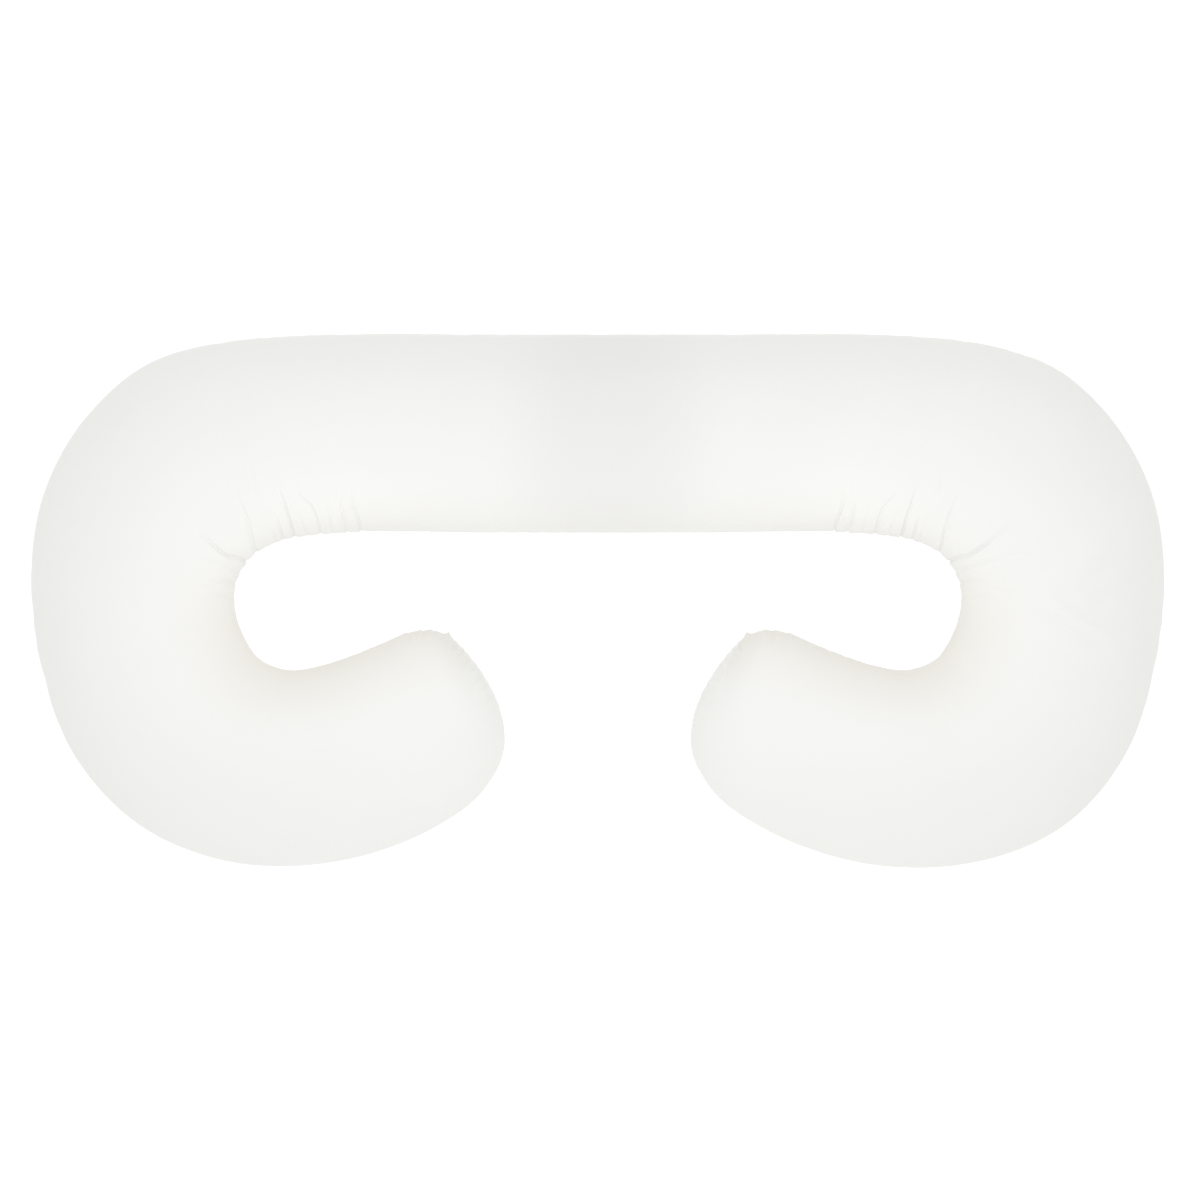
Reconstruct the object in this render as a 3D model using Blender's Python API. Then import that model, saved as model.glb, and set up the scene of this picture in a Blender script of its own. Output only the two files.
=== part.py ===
# Body pillow: one long filled cushion bent to a wide C with turned-in ends, lying on its back.
# Two panels of the same outline, a top and a bottom, meet in one seam that runs all the way round.
# Metres, +Z up. The origin is on the surface the pillow lies on, under the middle of its outline.

from collections import namedtuple
from math import cos, pi, radians, sin

import bmesh
import bpy
import numpy as np

# Driving dimensions.
SEAM_HEIGHT = 0.092       # perimeter seam above the surface
CROWN_HEIGHT = 0.104      # highest line of the top panel above the seam
FULL_WIDTH = 0.270        # a section at least this wide is filled to its full height
END_ROUNDING = 1.3        # how bluntly the height falls off where the sections get narrower
TOP_FULLNESS = 0.92       # 1 is an ellipse, less is fuller at the shoulders
REST_SHARE = 0.43         # share of the half width that lies flat on the surface
SEAM_DEPTH = 0.0025       # how far the seam is drawn in
SEAM_ANGLE = radians(2.6)  # where the panel stands full again beside the seam, round the section
ROWS_ACROSS = 14          # steps of a panel from one seam shoulder to the other
LONGEST_STEP = 0.037      # longest step between two sections, at their wider side
LEAST_STEP = 0.0035       # shortest step between two sections, at their middle
FINE_STEPS = 60           # steps from one listed section to the next when a length is measured
UNDERSIDE_SHARE = 0.6     # depth of a gather below the seam, as a share of its depth above
PAST_FOOT = 0.012         # how far a gather runs on past its foot, over the bulge beside the seam
FOOT_SHARE = 0.5          # depth of a gather at the seam, as a share of its full depth
GATHER_DEEPEST = 0.25     # where along its run a gather is deepest
HOLLOW_DEEPEST = 0.5      # where along its run a hollow is deepest

# Sections of the right half, from the middle of the back to the tip of the end: where each one
# crosses the inner and the outer run of the seam, its crown as a share of CROWN_HEIGHT, and how much
# further out the right half reaches than the left.
Section = namedtuple("Section", "inner_x inner_y outer_x outer_y crown right_extra")
SECTIONS = [
    Section(0.000, 0.0965, 0.000, 0.3795, 0.955, 0.000),
    Section(0.180, 0.0970, 0.190, 0.3795, 0.975, 0.000),
    Section(0.335, 0.0985, 0.393, 0.3790, 0.985, 0.000),
    Section(0.390, 0.0955, 0.470, 0.3755, 0.985, 0.000),
    Section(0.435, 0.0895, 0.548, 0.3660, 0.990, 0.000),
    Section(0.478, 0.0745, 0.640, 0.3360, 1.000, 0.000),
    Section(0.501, 0.0510, 0.728, 0.2570, 1.000, 0.000),
    Section(0.512, 0.0270, 0.787, 0.1500, 1.000, 0.000),
    Section(0.514, -0.0080, 0.806, 0.0200, 0.995, 0.000),
    Section(0.502, -0.0480, 0.793, -0.0880, 0.985, 0.001),
    Section(0.478, -0.0830, 0.745, -0.2180, 0.980, 0.005),
    Section(0.436, -0.0975, 0.656, -0.3150, 0.985, 0.008),
    Section(0.390, -0.0900, 0.547, -0.3645, 0.990, 0.005),
    Section(0.345, -0.0745, 0.432, -0.3775, 0.985, 0.002),
    Section(0.305, -0.0585, 0.330, -0.3620, 0.970, 0.000),
    Section(0.270, -0.0440, 0.235, -0.3245, 0.955, 0.000),
    Section(0.242, -0.0405, 0.163, -0.2720, 0.950, 0.000),
    Section(0.229, -0.0425, 0.131, -0.2100, 0.950, 0.000),
    Section(0.222, -0.0460, 0.136, -0.1620, 0.950, 0.000),
    Section(0.217, -0.0480, 0.164, -0.1030, 0.950, 0.000),
    Section(0.213, -0.0475, 0.213, -0.0475, 0.950, 0.000),
]

# Folds of one half, with the x of each point as on the right half. A gather starts with its foot on
# the seam, where the cloth is eased in, and fades out at its head. A hollow is a broad soft dip that
# fades at both ends. The bow is how far the middle of a fold stands off the straight line from foot to
# head, towards the tip of the end. LEFT and RIGHT folds are on one half alone.
LEFT, BOTH, RIGHT = -1, 0, 1
Fold = namedtuple("Fold", "half foot_x foot_y head_x head_y bow depth width")
GATHERS = [
    Fold(BOTH, 0.336, 0.0985, 0.346, 0.156, 0.001, 0.0042, 0.0060),
    Fold(BOTH, 0.357, 0.0985, 0.363, 0.162, 0.001, 0.0034, 0.0050),
    Fold(BOTH, 0.394, 0.0950, 0.427, 0.172, -0.003, 0.0038, 0.0060),
    Fold(BOTH, 0.430, 0.0905, 0.446, 0.160, 0.001, 0.0048, 0.0060),
    Fold(BOTH, 0.449, 0.0860, 0.456, 0.116, 0.000, 0.0034, 0.0050),
    Fold(BOTH, 0.485, 0.0700, 0.507, 0.158, -0.004, 0.0042, 0.0060),
    Fold(LEFT, 0.501, 0.0510, 0.563, 0.100, 0.007, 0.0054, 0.0065),
    Fold(RIGHT, 0.501, 0.0510, 0.590, 0.125, 0.010, 0.0054, 0.0065),
    Fold(BOTH, 0.510, 0.0320, 0.575, 0.064, 0.000, 0.0030, 0.0065),
    Fold(BOTH, 0.514, 0.0180, 0.565, 0.026, 0.000, 0.0030, 0.0060),
    Fold(BOTH, 0.254, -0.0420, 0.257, -0.064, 0.000, 0.0026, 0.0045),
    Fold(BOTH, 0.181, -0.0790, 0.199, -0.093, 0.000, 0.0026, 0.0050),
    Fold(BOTH, 0.161, -0.1090, 0.184, -0.119, 0.000, 0.0024, 0.0050),
    Fold(BOTH, 0.143, -0.1440, 0.168, -0.150, 0.000, 0.0022, 0.0050),
]
HOLLOWS = [
    Fold(RIGHT, 0.535, -0.0060, 0.725, -0.118, 0.000, 0.0040, 0.0200),
]


def half_sections(side):
    """Inner points, outer points and crowns of one half, middle first; side is -1 left, 1 right."""
    inner, outer, crowns = [], [], []
    for section in SECTIONS:
        inner_point = np.array([section.inner_x, section.inner_y])
        outer_point = np.array([section.outer_x, section.outer_y])
        if side > 0 and section.right_extra:
            across = outer_point - inner_point
            outer_point = outer_point + section.right_extra * across / np.linalg.norm(across)
        inner.append(inner_point * [side, 1.0])
        outer.append(outer_point * [side, 1.0])
        crowns.append(section.crown)
    return inner, outer, crowns


def all_sections():
    """Seam points and crowns of the whole pillow, from the left tip to the right tip."""
    left = half_sections(-1)
    right = half_sections(1)
    return [np.array(before[::-1] + after[1:]) for before, after in zip(left, right)]


def smooth_curve(points, places):
    """Points of a smooth curve through points, at places counted in sections from its start."""
    steps = np.linalg.norm(np.diff(points, axis=0), axis=1)[:, None]
    slopes = np.diff(points, axis=0) / steps
    tangents = np.empty_like(points)
    tangents[1:-1] = (slopes[:-1] * steps[1:] + slopes[1:] * steps[:-1]) / (steps[:-1] + steps[1:])
    tangents[0] = 2 * slopes[0] - tangents[1]
    tangents[-1] = 2 * slopes[-1] - tangents[-2]
    before = np.minimum(places.astype(int), len(points) - 2)
    t = (places - before)[:, None]
    reach = steps[before]
    start = (2 * t ** 3 - 3 * t ** 2 + 1) * points[before]
    start_pull = (t ** 3 - 2 * t ** 2 + t) * reach * tangents[before]
    end = (3 * t ** 2 - 2 * t ** 3) * points[before + 1]
    end_pull = (t ** 3 - t ** 2) * reach * tangents[before + 1]
    return start + start_pull + end + end_pull


def length_along(points):
    """Distance from the start of a run of points to each of them."""
    return np.concatenate([[0.0], np.cumsum(np.linalg.norm(np.diff(points, axis=0), axis=1))])


def section_places(inner, outer):
    """Places of the panel's sections: three at each gather, and even steps between them."""
    last_place = len(inner) - 1.0
    fine = np.linspace(0, last_place, FINE_STEPS * (len(inner) - 1) + 1)
    inner_run = smooth_curve(inner, fine)
    outer_run = smooth_curve(outer, fine)
    inner_length = length_along(inner_run)
    outer_length = length_along(outer_run)
    middle_length = (inner_length + outer_length) / 2

    wanted = []
    for half in (LEFT, RIGHT):
        for gather in folds_of(GATHERS, half):
            foot = np.array([gather.foot_x * half, gather.foot_y])
            to_foot, length = np.linalg.norm(inner_run - foot, axis=1), inner_length
            to_foot_outside = np.linalg.norm(outer_run - foot, axis=1)
            if to_foot_outside.min() < to_foot.min():
                to_foot, length = to_foot_outside, outer_length
            at = length[np.argmin(to_foot)]
            wanted += list(np.interp([at - gather.width, at, at + gather.width], length, fine))

    kept = [0.0]
    for place in sorted(wanted):
        if np.ptp(np.interp([kept[-1], place], fine, middle_length)) > LEAST_STEP:
            kept.append(place)
    kept.append(last_place)

    places = []
    for start, stop in zip(kept, kept[1:]):
        longest = max(np.ptp(np.interp([start, stop], fine, run)) for run in (inner_length, outer_length))
        count = int(np.ceil(longest / LONGEST_STEP))
        ends = np.interp([start, stop], fine, middle_length)
        even = np.linspace(ends[0], ends[1], count, endpoint=False)
        places += list(np.interp(even, middle_length, fine))
    return np.array(places + [last_place])


def row_angles():
    """Angles of the rows round half a section, from the inner seam to the outer seam."""
    between = np.linspace(SEAM_ANGLE, pi - SEAM_ANGLE, ROWS_ACROSS + 1)
    return np.concatenate([[0.0], between, [pi]])


def add_panel(mesh, inner, outer, crowns, angles, lift):
    """Map a flat grid onto one panel; lift gives a point's height from its angle and its fill."""
    along, across = len(inner) - 1, len(angles) - 1
    grid = bmesh.ops.create_grid(mesh, x_segments=along, y_segments=across, size=0.5)
    for vert in grid["verts"]:
        i = round((vert.co.x + 0.5) * along)
        j = round((vert.co.y + 0.5) * across)
        width = np.linalg.norm(outer[i] - inner[i])
        fill = 1 - max(0.0, 1 - width / FULL_WIDTH) ** END_ROUNDING
        share = (1 - cos(angles[j])) / 2
        if j in (0, across):
            drawn_in = SEAM_DEPTH * fill / max(width, SEAM_DEPTH)
            share += drawn_in if j == 0 else -drawn_in
        x, y = inner[i] + (outer[i] - inner[i]) * share
        vert.co = (x, y, lift(angles[j], fill, crowns[i]))


def top_height(angle, fill, crown):
    return SEAM_HEIGHT + CROWN_HEIGHT * crown * fill * max(0.0, sin(angle)) ** TOP_FULLNESS


def bottom_height(angle, fill, crown):
    past_rest = max(0.0, (abs(cos(angle)) - REST_SHARE) / (1 - REST_SHARE))
    return SEAM_HEIGHT * (1 - fill * max(0.0, 1 - past_rest ** 2) ** 0.5)


def folds_of(folds, half):
    return [fold for fold in folds if fold.half in (BOTH, half)]


def fold_depth(fold, x, y, foot_share, deepest):
    """How deep one fold is at a point of the plan, with x as on the right half."""
    foot = np.array([fold.foot_x, fold.foot_y])
    run = np.array([fold.head_x, fold.head_y]) - foot
    length = np.linalg.norm(run)
    forward = run / length
    offset = np.array([x, y]) - foot
    reached = float(offset @ forward) / length
    if reached > 1 or reached * length < -PAST_FOOT:
        return 0.0
    inside = max(0.0, reached)
    sideways = float(offset[0] * forward[1] - offset[1] * forward[0])
    sideways -= fold.bow * 4 * inside * (1 - inside)
    rise = min(1.0, inside / deepest)
    rise = foot_share + (1 - foot_share) * rise ** 2 * (3 - 2 * rise)
    fall = (1 - max(0.0, (inside - deepest) / (1 - deepest)) ** 2) ** 2
    return fold.depth * rise * fall * np.exp(-(sideways / fold.width) ** 2)


def press_folds(mesh):
    """Sink the folds into the cloth, along its normals; what lies on the surface stays flat."""
    mesh.normal_update()
    moves = []
    for vert in mesh.verts:
        x, y, z = vert.co
        if z <= 0:
            continue
        half = LEFT if x < 0 else RIGHT
        depth = 0.0
        for fold in folds_of(GATHERS, half):
            depth += fold_depth(fold, abs(x), y, FOOT_SHARE, GATHER_DEEPEST)
        if z < SEAM_HEIGHT:
            above = z / SEAM_HEIGHT
            depth *= UNDERSIDE_SHARE * above + (1 - UNDERSIDE_SHARE) * above ** 3
        else:
            for fold in folds_of(HOLLOWS, half):
                depth += fold_depth(fold, abs(x), y, 0.0, HOLLOW_DEEPEST)
        moves.append((vert, vert.normal * depth))
    for vert, move in moves:
        vert.co -= move
        vert.co.z = max(vert.co.z, 0.0)


def cloth_material():
    material = bpy.data.materials.new("white_cotton")
    material.use_nodes = True
    shader = material.node_tree.nodes["Principled BSDF"]
    shader.inputs["Base Color"].default_value = (0.86, 0.86, 0.83, 1.0)
    shader.inputs["Roughness"].default_value = 0.85
    shader.inputs["Metallic"].default_value = 0.0
    return material


def build_pillow(collection):
    inner, outer, crowns = all_sections()
    places = section_places(inner, outer)
    inner_run = smooth_curve(inner, places)
    outer_run = smooth_curve(outer, places)
    crown_run = np.interp(places, np.arange(len(crowns)), crowns)
    angles = row_angles()

    mesh = bmesh.new()
    add_panel(mesh, inner_run, outer_run, crown_run, angles, top_height)
    add_panel(mesh, inner_run, outer_run, crown_run, angles, bottom_height)
    bmesh.ops.remove_doubles(mesh, verts=mesh.verts, dist=0.00005)
    bmesh.ops.recalc_face_normals(mesh, faces=mesh.faces)
    press_folds(mesh)
    bmesh.ops.triangulate(mesh, faces=mesh.faces)

    data = bpy.data.meshes.new("pillow")
    mesh.to_mesh(data)
    mesh.free()
    data.shade_smooth()
    data.materials.append(cloth_material())
    pillow = bpy.data.objects.new("pillow", data)
    collection.objects.link(pillow)
    return pillow


def main():
    for item in list(bpy.data.objects):
        bpy.data.objects.remove(item, do_unlink=True)
    collection = bpy.data.collections.new("body_pillow")
    bpy.context.scene.collection.children.link(collection)
    build_pillow(collection)


main()
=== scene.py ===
import random
from math import cos, pi, radians, sin

import bpy
import numpy as np
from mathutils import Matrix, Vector, noise


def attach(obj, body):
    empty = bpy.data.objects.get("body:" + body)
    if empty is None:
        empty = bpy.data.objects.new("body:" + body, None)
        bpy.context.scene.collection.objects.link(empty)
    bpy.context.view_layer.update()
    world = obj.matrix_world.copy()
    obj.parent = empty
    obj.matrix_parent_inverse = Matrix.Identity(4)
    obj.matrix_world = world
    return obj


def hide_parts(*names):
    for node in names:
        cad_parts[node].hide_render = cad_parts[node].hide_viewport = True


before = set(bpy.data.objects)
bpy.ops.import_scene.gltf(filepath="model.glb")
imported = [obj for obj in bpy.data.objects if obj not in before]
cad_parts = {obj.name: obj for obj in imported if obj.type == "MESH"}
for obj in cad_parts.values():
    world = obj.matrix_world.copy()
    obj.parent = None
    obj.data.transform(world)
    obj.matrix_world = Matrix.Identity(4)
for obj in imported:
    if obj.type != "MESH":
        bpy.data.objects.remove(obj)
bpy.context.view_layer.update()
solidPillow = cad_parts["pillow"]

# The pillow is cut as two panels of one outline, a top and a bottom, and sewn together all round.
# A rib is a straight line across a panel, from the inner run of the seam to the outer one. These are
# the right half's, from the middle of the back to the tip of the end, and the left half mirrors them.
pillowCut = {
    "ribs": [  # inner x, inner y, outer x, outer y
        (0.000, 0.0965, 0.000, 0.3795),
        (0.180, 0.0970, 0.190, 0.3795),
        (0.335, 0.0985, 0.393, 0.3790),
        (0.390, 0.0955, 0.470, 0.3755),
        (0.435, 0.0895, 0.548, 0.3660),
        (0.478, 0.0745, 0.640, 0.3360),
        (0.501, 0.0510, 0.728, 0.2570),
        (0.512, 0.0270, 0.787, 0.1500),
        (0.514, -0.0080, 0.806, 0.0200),
        (0.502, -0.0480, 0.793, -0.0880),
        (0.478, -0.0830, 0.745, -0.2180),
        (0.436, -0.0975, 0.656, -0.3150),
        (0.390, -0.0900, 0.547, -0.3645),
        (0.345, -0.0745, 0.432, -0.3775),
        (0.305, -0.0585, 0.330, -0.3620),
        (0.270, -0.0440, 0.235, -0.3245),
        (0.242, -0.0405, 0.163, -0.2720),
        (0.229, -0.0425, 0.131, -0.2100),
        (0.222, -0.0460, 0.136, -0.1620),
        (0.217, -0.0480, 0.164, -0.1030),
        (0.213, -0.0475, 0.213, -0.0475),
    ],
    "seamHeight": 0.092,          # the seam above the floor
    "crownHeight": 0.104,         # the top above the seam
    "rowsOnTop": 26,
    "rowsBelow": 10,
    "firstRow": radians(2.0),     # the row beside the seam, round the section
    "rowCrowding": 0.45,          # 0 is even rows, 1 crowds them to the seam
    "widestStep": 0.0170,         # between two columns, on their longer side
    "foldStep": 0.0052,           # between two columns, at the foot of a fold
    "foldReach": 0.014,
    "evenOut": 0.018,             # length over which the solid's facets are evened out
    "evenAtTip": 0.25,            # and near the tip this share of the length to it
    "lowBelow": 0.04,             # a half rib shorter than this is lower too
    "sewWithin": 0.00008,         # edges this close are sewn together
    "seamCrease": 0.7,            # how sharp the seam stays when the mesh is smoothed
    "outerRunFrom": 10.0,         # lengths along the seam count from 0 on its inner run and from
    "longestRun": 4.9,            # this on its outer one, and neither run is longer than this
    "tipReach": 0.014,            # nothing is pressed this close to where the seam ends meet
    "tipPeak": 0.0026,            # the point that the seam makes there
    "tipPeakWidth": 0.006,
    "tipPeakAim": (-0.35, 0.94),  # which way it points, on the right half
    "patternSide": 1.98,          # side of the square sheet that both panels are cut from
    "patternMiddle": 0.012,       # y of the pattern's middle
}

# The back's edges are cut a little past the solid, because sewing and smoothing draw them in.
ease = {
    "inner": 0.0040,
    "outer": 0.0020,
    "fromY": 0.05,                # it starts above this y
    "fadeY": 0.15,                # and is full this much further up
    "toX": 0.55,                  # the outer edge has none past this x
    "fadeX": 0.30,
}

# The top panel is fuller than the solid on its shoulders. A shoulder's place is an angle round the
# section, from the inner edge over the top, and its spread is how fast it fades.
fuller = {
    "inner": 0.085,               # share by which the back is fuller on its inner shoulder
    "innerPlace": 0.75,
    "innerSpread": 0.42,
    "innerFade": 0.25,            # full this far above the arms' middle
    "innerOnLobes": -0.5,         # share of it on the lobes, which are flatter there
    "outer": 0.060,
    "outerPlace": 2.6,
    "outerSpread": 0.40,
    "outerFade": 0.20,            # full this far from the arms' middle
    "armsMiddle": -0.05,          # y of the arms' middle, where neither is fuller
    "tip": 0.07,                  # the ends are fuller on both shoulders
    "tipPlaces": (0.6, 2.54),
    "tipSpread": 0.4,
    "tipRun": 0.16,               # over this length from the tip
    "offSeam": 3,                 # how fast the fullness starts at the seam
}

# Folds that run out from the seam where it is eased in round a bend. Each is a line from its foot
# on the seam to its head, with x as on the right half, then the valley's depth and half width, and
# how high the cloth stands beside it: on one side of it if above 0, on the other if below.
left, both, right = -1, 0, 1
folds = [
    (both, [(0.336, 0.0990), (0.337, 0.110), (0.343, 0.132), (0.346, 0.157)], 0.0034, 0.0026, -0.0010),
    (both, [(0.356, 0.0988), (0.357, 0.105), (0.360, 0.135), (0.361, 0.158)], 0.0026, 0.0024, -0.0014),
    (both, [(0.376, 0.0975), (0.379, 0.116), (0.384, 0.138)], 0.0012, 0.0030, 0.0),
    (both, [(0.393, 0.0955), (0.395, 0.110), (0.403, 0.132), (0.417, 0.146), (0.427, 0.171)],
        0.0030, 0.0028, 0.0006),
    (both, [(0.412, 0.0945), (0.417, 0.110), (0.424, 0.124)], 0.0012, 0.0028, 0.0),
    (both, [(0.430, 0.0905), (0.4335, 0.113), (0.440, 0.135), (0.448, 0.162)], 0.0040, 0.0026, 0.0014),
    (both, [(0.4465, 0.0870), (0.4475, 0.097), (0.453, 0.119)], 0.0030, 0.0026, 0.0),
    (both, [(0.457, 0.0845), (0.4575, 0.096), (0.460, 0.108)], 0.0016, 0.0024, 0.0),
    (both, [(0.479, 0.155), (0.482, 0.170), (0.489, 0.193)], 0.0010, 0.0034, 0.0),
    (both, [(0.4845, 0.0710), (0.4872, 0.094), (0.491, 0.113), (0.4994, 0.135), (0.508, 0.158)],
        0.0034, 0.0022, 0.0008),
    (both, [(0.489, 0.078), (0.4915, 0.094), (0.499, 0.120)], 0.0016, 0.0020, 0.0),
    (left, [(0.501, 0.0560), (0.507, 0.0590), (0.5157, 0.0608), (0.527, 0.0662), (0.5405, 0.0787),
            (0.563, 0.100)],
        0.0050, 0.0028, -0.0018),
    (right, [(0.501, 0.0560), (0.507, 0.0590), (0.5157, 0.0608), (0.527, 0.0662), (0.5425, 0.0770),
             (0.5560, 0.0890), (0.5720, 0.1040), (0.5850, 0.1210)],
        0.0050, 0.0030, -0.0018),
    (left, [(0.509, 0.0400), (0.5322, 0.0526), (0.5541, 0.0580), (0.578, 0.0655)], 0.0020, 0.0034, -0.0008),
    (right, [(0.509, 0.0400), (0.5305, 0.0500), (0.549, 0.0560), (0.5731, 0.0631), (0.592, 0.0700)],
        0.0026, 0.0034, -0.0010),
    (both, [(0.5135, 0.0240), (0.528, 0.0275), (0.5418, 0.0264), (0.568, 0.0266)], 0.0024, 0.0030, -0.0008),
    (both, [(0.5145, 0.0040), (0.5404, 0.0080), (0.5596, 0.0052)], 0.0014, 0.0034, 0.0),
]
# Small puckers round both tips, in the same columns.
tipFolds = [
    (both, [(0.268, -0.0440), (0.2670, -0.050), (0.266, -0.056)], 0.0010, 0.0026, 0.0),
    (both, [(0.247, -0.0425), (0.2465, -0.050), (0.247, -0.058)], 0.0019, 0.0026, 0.0),
    (both, [(0.232, -0.0425), (0.2300, -0.049), (0.228, -0.056)], 0.0010, 0.0022, 0.0),
    (both, [(0.206, -0.0550), (0.2105, -0.060), (0.215, -0.066)], 0.0014, 0.0020, 0.0),
    (both, [(0.198, -0.0630), (0.2030, -0.068), (0.207, -0.072)], 0.0017, 0.0022, 0.0),
    (both, [(0.189, -0.0720), (0.1940, -0.076), (0.198, -0.080)], 0.0012, 0.0020, 0.0),
    (both, [(0.180, -0.0820), (0.1860, -0.086), (0.190, -0.089)], 0.0015, 0.0024, 0.0),
    (both, [(0.170, -0.0940), (0.1760, -0.098), (0.181, -0.101)], 0.0010, 0.0022, 0.0),
    (both, [(0.162, -0.1070), (0.1680, -0.110), (0.174, -0.113)], 0.0013, 0.0024, 0.0),
    (both, [(0.154, -0.1210), (0.1600, -0.124), (0.166, -0.126)], 0.0009, 0.0022, 0.0),
    (both, [(0.146, -0.1370), (0.1520, -0.139), (0.159, -0.141)], 0.0012, 0.0024, 0.0),
    (both, [(0.139, -0.1540), (0.1450, -0.155), (0.152, -0.157)], 0.0008, 0.0022, 0.0),
    (both, [(0.133, -0.1750), (0.1390, -0.176), (0.147, -0.177)], 0.0007, 0.0022, 0.0),
]
# Wrinkles that lie free on the right arm, shallow and faded out at both ends.
wrinkles = [
    (right, [(0.5845, -0.0051), (0.6172, -0.0051), (0.6499, -0.0307), (0.6670, -0.0435),
             (0.6954, -0.0577), (0.7181, -0.0861)],
        0.0032, 0.0074, 0.0026),
    (right, [(0.6655, -0.0151), (0.6883, -0.0101), (0.7153, 0.0006)], 0.0018, 0.0068, 0.0015),
    (right, [(0.6655, -0.0478), (0.6911, -0.0506), (0.7209, -0.0634)], 0.0012, 0.0070, 0.0010),
    (right, [(0.6598, 0.0134), (0.6911, 0.0333), (0.7120, 0.0490), (0.7290, 0.0680)],
        0.0020, 0.0072, 0.0018),
    (right, [(0.5850, 0.0560), (0.6080, 0.0470), (0.6286, 0.0333)], 0.0017, 0.0062, 0.0015),
]

# How every fold is pressed in, and how fine the mesh is there.
foldRun = {
    "pastFoot": 0.010,            # a fold runs on over the bulge beside the seam
    "pastHead": 0.006,
    "points": (12, 60, 8),        # points past its foot, along it and past its head
    "atFoot": 0.90,               # its depth at the foot, as a share of the deepest
    "deepest": 0.22,              # where along the fold it is deepest
    "fading": 1.5,                # how slowly it fades from there to its head
    "below": 0.9,                 # its depth on the bottom panel, beside the seam
    "clearOfFloor": 0.02,
    "reach": 6,                   # the cloth moves within this many half widths
    "standOff": 1.8,              # the raised cloth is this many half widths from the valley
    "raised": 1.3,                # and this many half widths wide
    "ridge": 0.0009,              # how high it stands at least
    "seedShare": 0.35,            # what is pressed in before the filling, as a share of the depth
    "seedWiden": 1.8,
    "finalShare": 0.68,           # and what is pressed in after it
    "finalWiden": 0.72,
    "finerWithin": 0.0092,        # the mesh is made finer this close to a fold
    "finestWithin": 0.0046,       # and finer again this close to a deep one
    "deep": 0.0025,
    "finerBelow": 0.02,           # both down to this far below the seam
    "creaseShown": 0.0012,        # what is pressed in by more than this is smoothed in full
    "leastShare": 0.05,
    "softness": 0.5,
    "softenings": 3,
}
nearlyNothing = 1e-9   # so that nothing is divided by 0


def smoothLine(points, places):
    # a smooth line through the points; a place is counted in points from the start
    step = np.linalg.norm(np.diff(points, axis=0), axis=1)[:, None]
    slope = np.diff(points, axis=0) / step
    pull = np.empty_like(points)
    pull[1:-1] = (slope[:-1] * step[1:] + slope[1:] * step[:-1]) / (step[:-1] + step[1:])
    pull[0] = 2 * slope[0] - pull[1]
    pull[-1] = 2 * slope[-1] - pull[-2]
    first = np.minimum(places.astype(int), len(points) - 2)
    t = (places - first)[:, None]
    line = (2 * t**3 - 3 * t**2 + 1) * points[first] + (3 * t**2 - 2 * t**3) * points[first + 1]
    line += (t**3 - 2 * t**2 + t) * step[first] * pull[first]
    return line + (t**3 - t**2) * step[first] * pull[first + 1]


def lengthAlong(points):
    steps = np.linalg.norm(np.diff(points, axis=0), axis=-1)
    return np.concatenate([np.zeros((1,) + steps.shape[1:]), np.cumsum(steps, axis=0)])


def readPoints(piece, what="co"):
    values = np.empty(len(piece.data.vertices) * 3)
    piece.data.vertices.foreach_get(what, values)
    return values.reshape(-1, 3)


def writePoints(piece, points):
    points[:, 2] = np.maximum(points[:, 2], 0)   # nothing reaches into the floor
    piece.data.vertices.foreach_set("co", points.ravel())
    piece.data.update()


def readValue(piece, name):
    values = np.empty(len(piece.data.vertices))
    piece.data.attributes[name].data.foreach_get("value", values)
    return values


def sidesOf(side):
    return (left, right) if side == both else (side,)


def clearOfTips(points):
    # 0 at the two tips and 1 away from them
    x, y = pillowCut["ribs"][-1][:2]
    away = np.hypot(np.abs(points[:, 0]) - x, points[:, 1] - y)
    return 1 - np.exp(-((away / pillowCut["tipReach"]) ** 2))


def columnPlaces(inner, outer):
    # places of the columns, counted in ribs: close together at the folds
    samples = 4001
    fine = np.linspace(0, len(inner) - 1.0, samples)
    need = np.zeros(len(fine) - 1)
    for points in (inner, outer):
        run = smoothLine(points, fine)
        middle = (run[1:] + run[:-1]) / 2
        close = np.zeros(len(middle))
        for side, line, *rest in folds + tipFolds:
            for s in sidesOf(side):
                away = np.linalg.norm(middle - [line[0][0] * s, line[0][1]], axis=1)
                close = np.maximum(close, np.exp(-(away / pillowCut["foldReach"]) ** 2))
        wanted = (1 - close) / pillowCut["widestStep"] + close / pillowCut["foldStep"]
        need = np.maximum(need, np.diff(lengthAlong(run)) * wanted)
    reached = np.concatenate([[0], np.cumsum(need)])
    return np.interp(np.linspace(0, reached[-1], int(reached[-1]) + 2), reached, fine)


def rowAngles(rows):
    t = np.linspace(0, 1, rows - 1)
    crowded = (1 - np.cos(pi * t)) / 2
    t = t + (crowded - t) * pillowCut["rowCrowding"]
    first = pillowCut["firstRow"]
    return np.concatenate([[0.0], first + (pi - 2 * first) * t, [pi]])


def measureSolid(middles, across, halves, angles, heights):
    # how far the solid reaches from each rib's middle, as a share of a plain ellipse
    shortest, justAbove = 0.002, 0.00002
    share = np.ones((len(middles), len(angles)))
    for i in np.flatnonzero(halves > shortest):
        origin = Vector((*middles[i], pillowCut["seamHeight"]))
        for j, angle in enumerate(angles):
            sideways = -cos(angle) * halves[i] * across[i]
            aim = Vector((*sideways, sin(angle) * heights[i] + justAbove))
            found, place, *rest = solidPillow.ray_cast(origin, aim.normalized())
            if found:
                share[i, j] = (place - origin).length / aim.length
    return share


def shoulder(angles, place, spread):
    return np.exp(-(((angles - place) / spread) ** 2))


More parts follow.
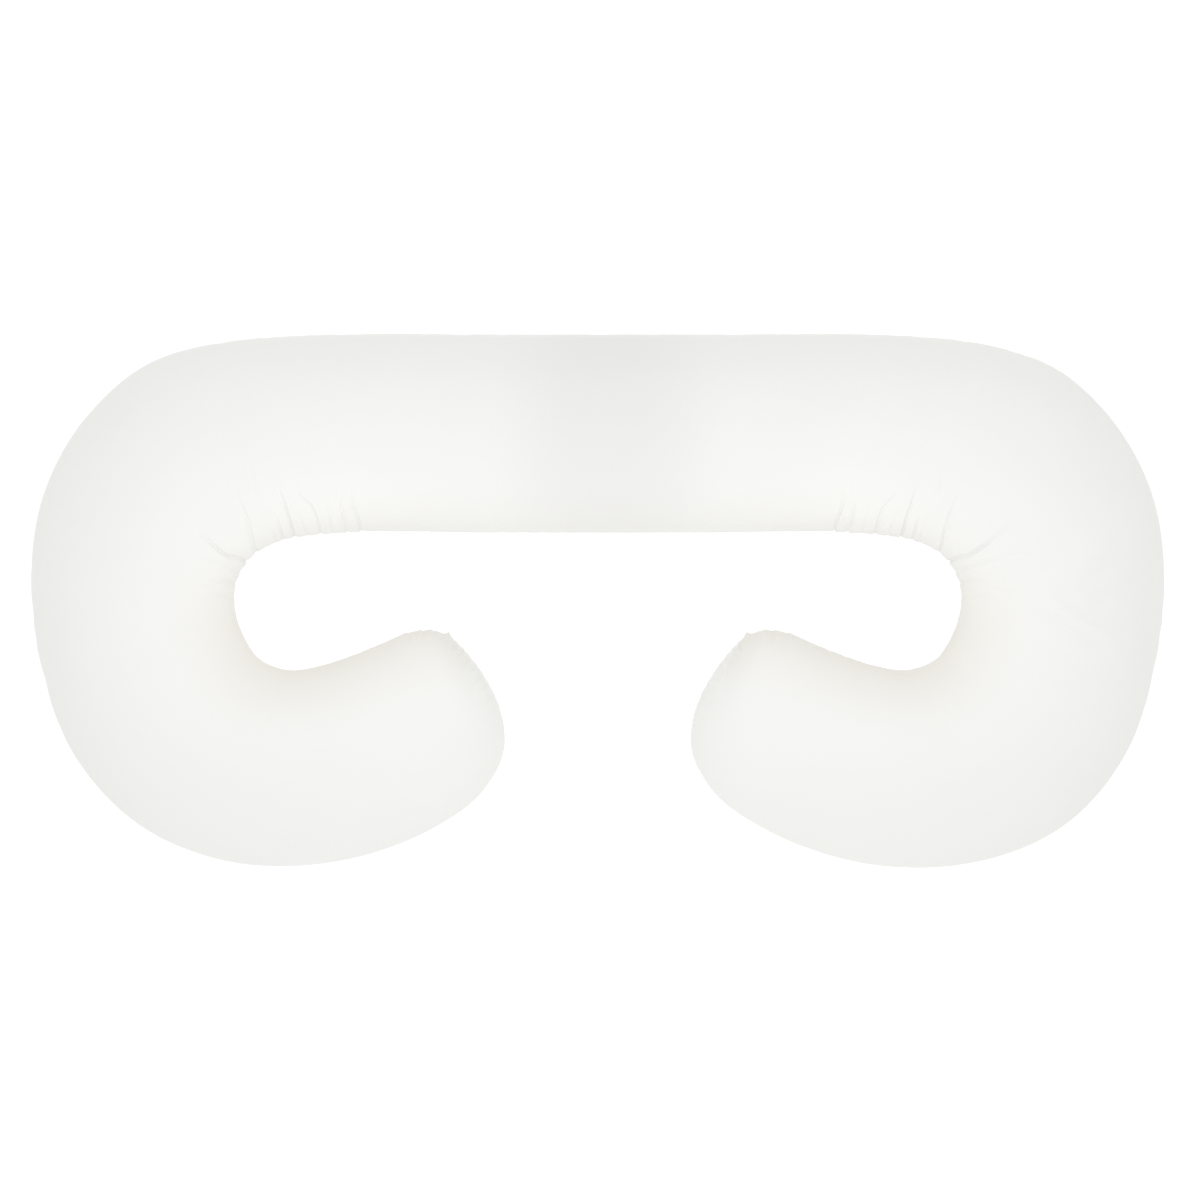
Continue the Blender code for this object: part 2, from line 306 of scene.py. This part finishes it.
def fullness(middles, angles):
    # how much fuller or lower the top panel is than the solid
    offMiddle = middles[:, 1] - fuller["armsMiddle"]
    onBack = np.clip(offMiddle / fuller["innerFade"], fuller["innerOnLobes"], 1)[:, None]
    offArms = np.clip(np.abs(offMiddle) / fuller["outerFade"], 0, 1)[:, None]
    more = onBack * fuller["inner"] * shoulder(angles, fuller["innerPlace"], fuller["innerSpread"])
    more += offArms * fuller["outer"] * shoulder(angles, fuller["outerPlace"], fuller["outerSpread"])
    x, y = pillowCut["ribs"][-1][:2]
    toTip = np.hypot(np.abs(middles[:, 0]) - x, middles[:, 1] - y)[:, None]
    onTip = np.exp(-((toTip / fuller["tipRun"]) ** 2))
    atTip = sum(shoulder(angles, place, fuller["tipSpread"]) for place in fuller["tipPlaces"])
    more = more * (1 - onTip) + onTip * fuller["tip"] * atTip
    return 1 + more * np.minimum(fuller["offSeam"] * np.sin(angles), 1)


def easeOut(middles, angles):
    # how far the back's cloth is set outwards, for what the sewing draws in
    onBack = np.clip((middles[:, 1] - ease["fromY"]) / ease["fadeY"], 0, 1)[:, None]
    offBends = np.clip((ease["toX"] - np.abs(middles[:, 0])) / ease["fadeX"], 0, 1)[:, None]
    toInner = ease["inner"] * np.maximum(np.cos(angles), 0)
    toOuter = ease["outer"] * np.maximum(-np.cos(angles), 0)
    return onBack * (offBends * toOuter - toInner)


def layPanel(inner, outer, rows, height):
    # points of one panel, column by column, lying on the solid, and the flat pattern it is cut to
    angles = rowAngles(rows)
    middles = (inner + outer) / 2
    widths = np.linalg.norm(outer - inner, axis=1)
    across = (outer - inner) / np.maximum(widths, nearlyNothing)[:, None]
    heights = height * np.minimum(widths / 2 / pillowCut["lowBelow"], 1)
    share = measureSolid(middles, across, widths / 2, angles, heights)
    along = lengthAlong(middles)
    smooth = share.copy()
    for i in range(1, len(along) - 1):
        toTip = min(along[i], along[-1] - along[i])
        reach = min(pillowCut["evenOut"], pillowCut["evenAtTip"] * toTip)
        weight = np.exp(-((along - along[i]) / reach) ** 2)
        smooth[i, 1:-1] = weight @ share[:, 1:-1] / weight.sum()
    if height > 0:
        smooth[:, 1:-1] *= fullness(middles, angles[1:-1])
    points = np.zeros(share.shape + (3,))
    sideways = smooth * -np.cos(angles) * (widths / 2)[:, None] + easeOut(middles, angles)
    points[:, :, :2] = middles[:, None] + sideways[:, :, None] * across[:, None]
    points[:, :, 2] = pillowCut["seamHeight"] + smooth * np.sin(angles) * heights[:, None]
    for tip in (0, -1):
        points[tip] = (*inner[tip], pillowCut["seamHeight"])
    fromInner = lengthAlong(points.swapaxes(0, 1)).swapaxes(0, 1)
    pattern = inner[:, None] + fromInner[:, :, None] * across[:, None]
    return points, pattern, np.minimum(fromInner, fromInner[:, -1:] - fromInner)


def addPanel(name, points, pattern, fromSeam, up):
    # a flat grid of cloth, laid on the points, that remembers its pattern and where its seam is
    along, across = points.shape[0] - 1, points.shape[1] - 1
    bpy.ops.mesh.primitive_grid_add(x_subdivisions=along, y_subdivisions=across, size=1)
    panel = bpy.context.object
    panel.name = name
    grid = readPoints(panel)
    i = np.rint((grid[:, 0] + 0.5) * along).astype(int)
    j = np.rint((grid[:, 1] + 0.5) * across).astype(int)
    writePoints(panel, points[i, j])
    corners = np.empty(len(panel.data.loops), int)
    panel.data.loops.foreach_get("vertex_index", corners)
    panel.data.uv_layers[0].name = "OFBake"
    flat = (pattern[i, j] - [0, pillowCut["patternMiddle"]]) * [up, 1] / pillowCut["patternSide"]
    flat += [0.5, 0.5 + up / 4]   # the top panel is cut from the sheet's upper half
    panel.data.uv_layers[0].data.foreach_set("uv", flat[corners].ravel())
    runs = lengthAlong(points[:, [0, -1]])
    isOuter = (np.arange(across + 1) > across / 2).astype(int)
    alongSeam = runs[:, isOuter] + isOuter * pillowCut["outerRunFrom"]
    values = {"fromSeam": fromSeam, "alongSeam": alongSeam}
    for valueName, value in values.items():
        layer = panel.data.attributes.new(valueName, "FLOAT", "POINT")
        layer.data.foreach_set("value", value[i, j])
    seam = panel.vertex_groups.new(name="seam")
    seam.add([int(n) for n in np.flatnonzero((j == 0) | (j == across))], 1.0, "REPLACE")
    return panel


def sewPanels(name):
    innerRibs, outerRibs = (np.vstack([half[::-1] * [-1, 1], half[1:]])
                            for half in np.hsplit(np.array(pillowCut["ribs"]), 2))
    places = columnPlaces(innerRibs, outerRibs)
    inner, outer = smoothLine(innerRibs, places), smoothLine(outerRibs, places)
    bpy.ops.object.select_all(action="DESELECT")
    bottom = layPanel(inner, outer, pillowCut["rowsBelow"], -pillowCut["seamHeight"])
    top = layPanel(inner, outer, pillowCut["rowsOnTop"], pillowCut["crownHeight"])
    below = addPanel("bottomPanel", *bottom, -1)
    above = addPanel(name, *top, 1)
    below.select_set(True)
    bpy.ops.object.join()
    bpy.ops.object.mode_set(mode="EDIT")
    bpy.ops.mesh.select_all(action="SELECT")
    bpy.ops.mesh.remove_doubles(threshold=pillowCut["sewWithin"])
    bpy.ops.mesh.normals_make_consistent(inside=False)
    bpy.ops.mesh.select_all(action="DESELECT")
    bpy.ops.mesh.select_mode(type="VERT")
    bpy.ops.object.vertex_group_set_active(group="seam")
    bpy.ops.object.vertex_group_select()
    bpy.ops.mesh.select_mode(type="EDGE")
    bpy.ops.transform.edge_crease(value=pillowCut["seamCrease"])
    bpy.ops.mesh.mark_seam()
    bpy.ops.object.mode_set(mode="OBJECT")
    bpy.ops.object.shade_smooth()
    print("panels sewn:", len(places), "columns,", len(above.data.polygons), "faces")
    return above


def foldPlaces(line, side):
    # close points along a fold, from past its foot to past its head, and how far along each one is
    points = np.array(line) * [side, 1]
    pointsBefore, pointsOn, pointsAfter = foldRun["points"]
    ends = []
    for end, beside, length in ((0, 1, foldRun["pastFoot"]), (-1, -2, foldRun["pastHead"])):
        out = points[end] - points[beside]
        ends.append(points[end] + out / np.linalg.norm(out) * length)
    before = np.linspace(ends[0], points[0], pointsBefore, endpoint=False)
    on = smoothLine(points, np.linspace(0, len(points) - 1.0, pointsOn))
    after = np.linspace(ends[1], points[-1], pointsAfter, endpoint=False)[::-1]
    places = np.vstack([before, on, after])
    along = lengthAlong(places)
    return places, (along - along[pointsBefore]) / (along[-1] - along[pointsBefore])


def finerAtFolds(piece, table, reach):
    # one more cut through the faces this close to the folds, on the upper side
    lowest = pillowCut["seamHeight"] - foldRun["finerBelow"]
    centres = np.empty(len(piece.data.polygons) * 3)
    piece.data.polygons.foreach_get("center", centres)
    centres = centres.reshape(-1, 3)
    chosen = np.zeros(len(centres), bool)
    for side, line, *rest in table:
        for s in sidesOf(side):
            places, along = foldPlaces(line, s)
            inside = (centres[:, :2] > places.min(0) - reach) & (centres[:, :2] < places.max(0) + reach)
            near = np.flatnonzero(inside.all(axis=1) & (centres[:, 2] > lowest))
            away = np.linalg.norm(centres[near, None, :2] - places[None], axis=2).min(axis=1)
            chosen[near[away < reach]] = True
    bpy.ops.object.mode_set(mode="EDIT")
    bpy.ops.mesh.select_mode(type="FACE")
    bpy.ops.mesh.select_all(action="DESELECT")
    bpy.ops.object.mode_set(mode="OBJECT")
    piece.data.polygons.foreach_set("select", chosen)
    bpy.ops.object.mode_set(mode="EDIT")
    bpy.ops.mesh.subdivide(number_cuts=1)
    bpy.ops.object.mode_set(mode="OBJECT")


def pressFolds(piece, table, share=1.0, widen=1.0, free=False):
    # moves the cloth along its normals; a free fold fades out at both ends
    points = readPoints(piece)
    normals = readPoints(piece, "normal")
    move = np.zeros(len(points))
    for side, line, depth, width, stands in table:
        width = width * widen
        for s in sidesOf(side):
            places, along = foldPlaces(line, s)
            reach = foldRun["reach"] * width
            inside = (points[:, :2] > places.min(0) - reach) & (points[:, :2] < places.max(0) + reach)
            near = np.flatnonzero(inside.all(axis=1) & (points[:, 2] > foldRun["clearOfFloor"]))
            gap = points[near, None, :2] - places[None]
            nearest = np.linalg.norm(gap, axis=2).argmin(axis=1)
            offset = gap[np.arange(len(near)), nearest]
            forward = np.gradient(places, axis=0)[nearest]
            forward /= np.linalg.norm(forward, axis=1)[:, None]
            sideways = (forward[:, 0] * offset[:, 1] - forward[:, 1] * offset[:, 0]) * s
            beyond = (offset * forward).sum(axis=1)
            t = along[nearest]
            rise = np.clip(t / foldRun["deepest"], 0, 1)
            rise = foldRun["atFoot"] + (1 - foldRun["atFoot"]) * rise**2 * (3 - 2 * rise)
            fall = np.clip((t - foldRun["deepest"]) / (1 - foldRun["deepest"]), 0, 1)
            strength = rise * (1 - fall**2) ** foldRun["fading"]
            if free:
                strength = np.sin(pi * np.clip(t, 0, 1))
            strength *= np.exp(-((beyond / width) ** 2))
            height = points[near, 2] / pillowCut["seamHeight"]
            strength *= np.where(height < 1, foldRun["below"] * height**2, 1)
            valley = -depth * np.exp(-((sideways / width) ** 2))
            lean = (1 if stands >= 0 else -1) * foldRun["standOff"] * width
            high = abs(stands) + foldRun["ridge"]
            raised = high * np.exp(-(((sideways - lean) / (foldRun["raised"] * width)) ** 2))
            move[near] += share * strength * (valley + raised)
    move *= clearOfTips(points)
    writePoints(piece, points + normals * move[:, None])
    return np.abs(move)


def softenCreases(piece, moved):
    # what was pressed in is smoothed a little, so that no crease is ragged
    share = np.clip(moved / foldRun["creaseShown"], 0, 1)
    creases = piece.vertex_groups.new(name="creases")
    for index in np.flatnonzero(share > foldRun["leastShare"]):
        creases.add([int(index)], float(share[index]), "REPLACE")
    softer = piece.modifiers.new("softer", "SMOOTH")
    softer.vertex_group = "creases"
    softer.factor = foldRun["softness"]
    softer.iterations = foldRun["softenings"]
    bpy.ops.object.modifier_apply(modifier="softer")


# The filling presses the cloth out from inside. Near the folds the cloth has more to spare than the
# room it fills, so it gathers there.
clothFill = {
    "pressure": 3.0,
    "stretch": 12.0,
    "shear": 4.0,
    "bending": 0.3,
    "spare": 0.002,               # how much larger the cloth is than its room
    "spareAtFolds": 0.05,
    "spareReach": 0.045,
    "spareBelow": 0.3,            # share of it on the bottom panel
    "leastSpare": 0.01,
    "mass": 0.2,
    "quality": 6,
    "frames": 20,
    "mostMove": 0.006,            # no point may move further
}


def fillWithPressure(pillow):
    start = readPoints(pillow)
    weight = np.zeros(len(start))
    for side, line, *rest in folds:
        for s in sidesOf(side):
            away = np.linalg.norm(start[:, :2] - np.mean(line, axis=0) * [s, 1], axis=1)
            weight = np.maximum(weight, np.exp(-((away / clothFill["spareReach"]) ** 2)))
    besideSeam = 0.002
    weight[start[:, 2] < pillowCut["seamHeight"] - besideSeam] *= clothFill["spareBelow"]
    spare = pillow.vertex_groups.new(name="spare")
    for index in np.flatnonzero(weight > clothFill["leastSpare"]):
        spare.add([int(index)], float(weight[index]), "REPLACE")
    cloth = pillow.modifiers.new("filling", "CLOTH")
    settings = cloth.settings
    settings.quality = clothFill["quality"]
    settings.mass = clothFill["mass"]
    settings.tension_stiffness = settings.compression_stiffness = clothFill["stretch"]
    settings.shear_stiffness = clothFill["shear"]
    settings.bending_stiffness = clothFill["bending"]
    settings.use_pressure = True
    settings.uniform_pressure_force = clothFill["pressure"]
    settings.shrink_min = -clothFill["spare"]
    settings.shrink_max = -clothFill["spareAtFolds"]
    settings.vertex_group_shrink = "spare"
    settings.vertex_group_mass = "seam"
    settings.effector_weights.gravity = 0
    cloth.collision_settings.use_collision = False
    for frameNumber in range(1, clothFill["frames"] + 1):
        bpy.context.scene.frame_set(frameNumber)
    bpy.ops.object.modifier_apply(modifier="filling")
    bpy.context.scene.frame_set(1)
    move = readPoints(pillow) - start
    length = np.linalg.norm(move, axis=1)
    most = clothFill["mostMove"]
    kept = most * np.tanh(length / most) * clearOfTips(start)
    writePoints(pillow, start + move * (kept / np.maximum(length, nearlyNothing))[:, None])
    print("filled: the cloth moved", round(kept.mean() * 1000, 1), "mm on average")


# Small tucks along the whole seam, where the two panels' edges are drawn together by the thread.
seamTucks = {
    "seed": 11,
    "apart": (0.013, 0.034),      # each of these is between two sizes
    "depth": (0.0003, 0.0011),
    "width": (0.0035, 0.0065),
    "length": (0.007, 0.024),
    "reach": 3,                   # the cloth moves within this many widths or lengths
    "otherPanel": 0.35,           # a tuck is in one panel, with this share of it in the other
    "groove": 0.0012,             # how far the thread draws the seam in
    "grooveWidth": 0.004,
}


def tuckSeam(pillow):
    dice = random.Random(seamTucks["seed"])
    points = readPoints(pillow)
    normals = readPoints(pillow, "normal")
    fromSeam = readValue(pillow, "fromSeam")
    alongSeam = readValue(pillow, "alongSeam")
    near = np.flatnonzero(fromSeam < seamTucks["reach"] * seamTucks["length"][1])
    move = np.zeros(len(points))
    count = 0
    for start in (0.0, pillowCut["outerRunFrom"]):
        runEnd = start + pillowCut["longestRun"]
        onRun = near[(alongSeam[near] >= start) & (alongSeam[near] < runEnd)]
        end = alongSeam[onRun].max()
        place = start + dice.uniform(*seamTucks["apart"])
        while place < end:
            depth = dice.uniform(*seamTucks["depth"])
            width = dice.uniform(*seamTucks["width"])
            length = dice.uniform(*seamTucks["length"])
            inTop = dice.random() < 0.5
            here = onRun[np.abs(alongSeam[onRun] - place) < seamTucks["reach"] * width]
            across = np.exp(-(((alongSeam[here] - place) / width) ** 2))
            isTop = points[here, 2] > pillowCut["seamHeight"]
            share = np.where(isTop == inTop, 1.0, seamTucks["otherPanel"])
            move[here] -= depth * share * across * np.exp(-((fromSeam[here] / length) ** 2))
            place += dice.uniform(*seamTucks["apart"])
            count += 1
    move -= seamTucks["groove"] * np.exp(-((fromSeam / seamTucks["grooveWidth"]) ** 2))
    move *= clearOfTips(points)
    writePoints(pillow, points + normals * move[:, None])
    print("seam tucked:", count, "small tucks")


# The filling lies in soft lumps under the cloth.
softLumps = {
    "sizes": ((0.20, 0.0036), (0.085, 0.0012)),   # size of a lump and its height
    "clearOfSeam": 0.05,
    "clearOfFloor": 0.03,
}


def addLumps(pillow):
    points = readPoints(pillow)
    normals = readPoints(pillow, "normal")
    lumps = np.zeros(len(points))
    for size, height in softLumps["sizes"]:
        lumps += [height * noise.noise(Vector(point) / size) for point in points]
    lumps *= 1 - np.exp(-((readValue(pillow, "fromSeam") / softLumps["clearOfSeam"]) ** 2))
    lumps *= np.clip(points[:, 2] / softLumps["clearOfFloor"], 0, 1)
    writePoints(pillow, points + normals * lumps[:, None])
    print("lumps raised: up to", round(np.abs(lumps).max() * 1000, 1), "mm")


def peakTips(pillow):
    # the seam makes a small point where its two ends meet
    points = readPoints(pillow)
    x, y = pillowCut["ribs"][-1][:2]
    aimX, aimY = pillowCut["tipPeakAim"]
    for side in (left, right):
        away = np.linalg.norm(points - [x * side, y, pillowCut["seamHeight"]], axis=1)
        out = np.exp(-((away / pillowCut["tipPeakWidth"]) ** 2)) * pillowCut["tipPeak"]
        points += out[:, None] * [aimX * side, aimY, 0]
    writePoints(pillow, points)


def restOnFloor(pillow):
    # the lowest point comes down to the floor, and the seam stays where it is
    points = readPoints(pillow)
    points[:, 2] -= points[:, 2].min() * np.clip(1 - points[:, 2] / pillowCut["seamHeight"], 0, 1)
    writePoints(pillow, points)


def smoothOnce(piece):
    piece.modifiers.new("smoother", "SUBSURF")
    piece.modifiers["smoother"].levels = piece.modifiers["smoother"].render_levels = 1
    bpy.ops.object.modifier_apply(modifier="smoother")


def makePillow():
    pillow = sewPanels("body_pillow")
    addLumps(pillow)
    pressFolds(pillow, folds, foldRun["seedShare"], foldRun["seedWiden"])
    fillWithPressure(pillow)
    finerAtFolds(pillow, folds + tipFolds, foldRun["finerWithin"])
    smoothOnce(pillow)
    deepFolds = [fold for fold in folds if fold[2] >= foldRun["deep"]]
    finerAtFolds(pillow, deepFolds, foldRun["finestWithin"])
    moved = pressFolds(pillow, folds, foldRun["finalShare"], foldRun["finalWiden"])
    moved += pressFolds(pillow, tipFolds)
    softenCreases(pillow, moved)
    pressFolds(pillow, wrinkles, free=True)
    print("folds pressed:", len(folds), "folds,", len(tipFolds), "puckers,", len(wrinkles), "wrinkles")
    tuckSeam(pillow)
    peakTips(pillow)
    restOnFloor(pillow)
    pillow.vertex_groups.clear()
    print("pillow made:", len(pillow.data.polygons), "faces")
    return pillow


# Plain white cotton, woven fine and washed soft. Light and shade are painted into its colour: a darker,
# warmer band of painted shade and warm bounce light along the inner run of the seam, where the cloth is
# drawn in and lies in shade, and a faint patch of painted shade across the middle of the back. Sizes are in
# metres.
cottonLook = {
    "colour": (0.862, 0.860, 0.841, 1),
    "cloudColour": (0.848, 0.848, 0.832, 1),
    "cloudSize": 0.11,
    "middleShadeColour": (0.808, 0.806, 0.789, 1),   # painted shade: a faint darker patch across the middle of the back
    "middleShadePlace": (0.015, 0.24, 0.16),
    "middleShadeReach": (0.165, 0.28, 0.13),
    "middleShadeFade": (0.35, 1.15),     # full within this share of its reach, and gone past this one
    # painted shade and warm bounce light, darker and warmer towards the inner run of the seam
    "innerShadeColour": (0.820, 0.805, 0.757, 1),
    "innerShadeReach": 0.175,
    "innerShadeFadesBetween": (-0.04, 0.06),  # it fades between these two y
    "innerShadeOuterShare": 0.15,           # how much of it the back and the outer run of the seam get
    "threadColour": (0.70, 0.69, 0.66, 1),
    "threadWidth": 0.0016,
    "stitchLength": 0.0036,
    "stitchGap": -0.3,            # thread shows where the wave of the stitches is above this
    "yarnPitch": 0.0011,
    "yarnHeight": 0.000006,
    "slubWidth": 0.0019,
    "slubLength": 0.034,
    "slubHeight": 0.00004,
    "crinkleSize": 0.022,
    "crinkleHeight": 0.00016,
    "roughness": (0.84, 0.92),
    "roughBetween": (0.3, 0.7),   # it goes from one to the other between these parts of a cloud
    "sheen": 0.12,
    "sheenRoughness": 0.5,
    "specular": 0.25,
}


def makeCotton():
    cotton = bpy.data.materials.new("whiteCotton")
    cotton.use_nodes = True
    nodes, links = cotton.node_tree.nodes, cotton.node_tree.links
    shader = nodes["Principled BSDF"]

    def add(kind, inputs, **settings):
        # a node with its settings; an input is a value or another node's output
        node = nodes.new("ShaderNode" + kind)
        for setting, value in settings.items():
            setattr(node, setting, value)
        for socket, value in inputs.items():
            if isinstance(value, bpy.types.NodeSocket):
                links.new(value, node.inputs[socket])
            else:
                node.inputs[socket].default_value = value
        return node.outputs

    def calculate(operation, a, b):
        return add("Math", {0: a, 1: b}, operation=operation)[0]

    def blendColours(factor, a, b):
        return add("Mix", {0: factor, 6: a, 7: b}, data_type="RGBA")[2]

    def changeRange(value, low, high, toLow, toHigh, **settings):
        return add("MapRange", {0: value, 1: low, 2: high, 3: toLow, 4: toHigh}, **settings)[0]

    look = cottonLook
    pattern = add("UVMap", {}, uv_map="OFBake")[0]
    inMetres = add("Mapping", {"Vector": pattern, "Scale": (pillowCut["patternSide"],) * 3})[0]
    clouds = add("TexNoise", {"Vector": inMetres, "Scale": 1 / look["cloudSize"], "Detail": 2.0})[0]
    crinkles = add("TexNoise", {"Vector": inMetres, "Scale": 1 / look["crinkleSize"], "Detail": 1.0})[0]
    slubs = []
    yarns = []
    for direction, long, wide in (("X", "slubLength", "slubWidth"), ("Y", "slubWidth", "slubLength")):
        stretch = (1 / look[long], 1 / look[wide], 1.0)
        stretched = add("Mapping", {"Vector": inMetres, "Scale": stretch})[0]
        slubs.append(add("TexNoise", {"Vector": stretched, "Scale": 1.0, "Detail": 1.0})[0])
        waves = {"Vector": inMetres, "Scale": pi / 10 / look["yarnPitch"]}   # at scale 1 a wave is pi / 10
        yarns.append(calculate("SUBTRACT", add("TexWave", waves, bands_direction=direction)[1], 0.5))

    place = add("TexCoord", {})["Object"]
    # painted shade: a faint darker patch across the middle of the back
    middle = {"Vector": place, "Location": look["middleShadePlace"], "Scale": look["middleShadeReach"]}
    fromMiddle = add("Mapping", middle, vector_type="TEXTURE")[0]
    away = add("VectorMath", {0: fromMiddle}, operation="LENGTH")["Value"]
    middleShade = changeRange(away, *look["middleShadeFade"], 1.0, 0.0, interpolation_type="SMOOTHSTEP")
    fromSeam = add("Attribute", {}, attribute_name="fromSeam")[2]
    alongSeam = add("Attribute", {}, attribute_name="alongSeam")[2]
    # painted shade and warm bounce light, strongest at the inner run of the seam, less on the back and the
    # outer run
    near = changeRange(fromSeam, 0.0, look["innerShadeReach"], 1.0, 0.0, interpolation_type="SMOOTHSTEP")
    onInner = calculate("LESS_THAN", alongSeam, pillowCut["outerRunFrom"] / 2)
    share = changeRange(add("SeparateXYZ", {0: place})[1], *look["innerShadeFadesBetween"], 1.0, look["innerShadeOuterShare"])
    innerShadeShare = changeRange(onInner, 0.0, 1.0, look["innerShadeOuterShare"], share)
    stitches = calculate("SINE", calculate("MULTIPLY", alongSeam, 2 * pi / look["stitchLength"]), 0.0)
    inSeam = calculate("LESS_THAN", fromSeam, look["threadWidth"])
    thread = calculate("MULTIPLY", inSeam, calculate("GREATER_THAN", stitches, look["stitchGap"]))

    cloth = blendColours(clouds, look["colour"], look["cloudColour"])
    # the painted shade of the back's middle, then the painted shade and bounce light along the inner run
    cloth = blendColours(middleShade, cloth, look["middleShadeColour"])
    cloth = blendColours(calculate("MULTIPLY", near, innerShadeShare), cloth, look["innerShadeColour"])
    cloth = blendColours(thread, cloth, look["threadColour"])
    links.new(cloth, shader.inputs["Base Color"])
    roughness = changeRange(clouds, *look["roughBetween"], *look["roughness"])
    links.new(roughness, shader.inputs["Roughness"])
    relief = add("Bump", {"Height": crinkles, "Distance": look["crinkleHeight"]})[0]
    slub = {"Height": calculate("ADD", *slubs), "Distance": look["slubHeight"], "Normal": relief}
    relief = add("Bump", slub)[0]
    weave = {"Height": calculate("MULTIPLY", *yarns), "Distance": look["yarnHeight"], "Normal": relief}
    links.new(add("Bump", weave)[0], shader.inputs["Normal"])
    shader.inputs["Specular IOR Level"].default_value = look["specular"]
    shader.inputs["Sheen Weight"].default_value = look["sheen"]
    shader.inputs["Sheen Roughness"].default_value = look["sheenRoughness"]
    print("cotton woven:", len(nodes), "nodes")
    return cotton


pillow = makePillow()
pillow.data.materials.append(makeCotton())
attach(pillow, "root")
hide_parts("pillow")

# A pale floor in a white room, lit from all round, with a softbox above and weak lamps that lift the
# shaded sides. None of the lamps is in the picture.
studio = {
    "white": (1, 1, 1, 1),
    "floorSize": 30,
    "floorColour": (0.28, 0.28, 0.28, 1),
    "floorGlow": 0.80,
    "sky": 0.911,
    "panels": [  # name, watts, size, place, what it aims at
        ("softbox", 4.2, 1.3, (0.0, -0.14, 2.10), (0.0, 0.0, 0.1)),
        ("frontFill", 0.60, 0.8, (0.0, -1.25, 0.85), (0.0, -0.15, 0.1)),
        ("fillLeft", 0.16, 0.6, (-0.40, 0.05, 0.55), (-0.40, 0.30, 0.1)),
        ("fillRight", 0.16, 0.6, (0.40, 0.05, 0.55), (0.40, 0.30, 0.1)),
    ],
    "globes": [  # name, watts, radius, place
        ("globeLeft", 0.034, 0.06, (-0.37, 0.035, 0.25)),
        ("globeRight", 0.034, 0.06, (0.37, 0.035, 0.25)),
    ],
    "lens": 135,
    "sensor": 36,
    "pictureWidth": 1.7056,       # of what the camera sees at the height of the seam
    "pictureMiddle": (0.0032, 0.0006),
}

bpy.ops.mesh.primitive_plane_add(size=studio["floorSize"])
floor = bpy.context.object
floor.name = "floor"
paleFloor = bpy.data.materials.new("paleFloor")
paleFloor.use_nodes = True
paint = paleFloor.node_tree.nodes["Principled BSDF"]
paint.inputs["Base Color"].default_value = studio["floorColour"]
paint.inputs["Roughness"].default_value = 1.0
paint.inputs["Specular IOR Level"].default_value = 0.0
paint.inputs["Emission Color"].default_value = studio["white"]
paint.inputs["Emission Strength"].default_value = studio["floorGlow"]
floor.data.materials.append(paleFloor)

world = bpy.data.worlds.new("studioWalls")
bpy.context.scene.world = world
world.use_nodes = True
sky = world.node_tree.nodes["Background"]
sky.inputs["Color"].default_value = studio["white"]
sky.inputs["Strength"].default_value = studio["sky"]

for name, watts, size, place, aim in studio["panels"]:
    bpy.ops.object.light_add(type="AREA", location=place)
    panel = bpy.context.object
    panel.name = name
    panel.data.energy = watts
    panel.data.size = size
    panel.rotation_euler = (Vector(place) - Vector(aim)).to_track_quat("Z", "Y").to_euler()
    panel.visible_camera = False
for name, watts, radius, place in studio["globes"]:
    bpy.ops.object.light_add(type="POINT", location=place)
    globe = bpy.context.object
    globe.name = name
    globe.data.energy = watts
    globe.data.shadow_soft_size = radius
    globe.visible_camera = False

distance = studio["pictureWidth"] * studio["lens"] / studio["sensor"]
bpy.ops.object.camera_add(location=(*studio["pictureMiddle"], pillowCut["seamHeight"] + distance))
camera = bpy.context.object
camera.rotation_euler = (0, 0, 0)
camera.data.lens = studio["lens"]
camera.data.sensor_width = studio["sensor"]
bpy.context.scene.camera = camera
bpy.context.scene.view_settings.view_transform = "Standard"
print("studio ready")
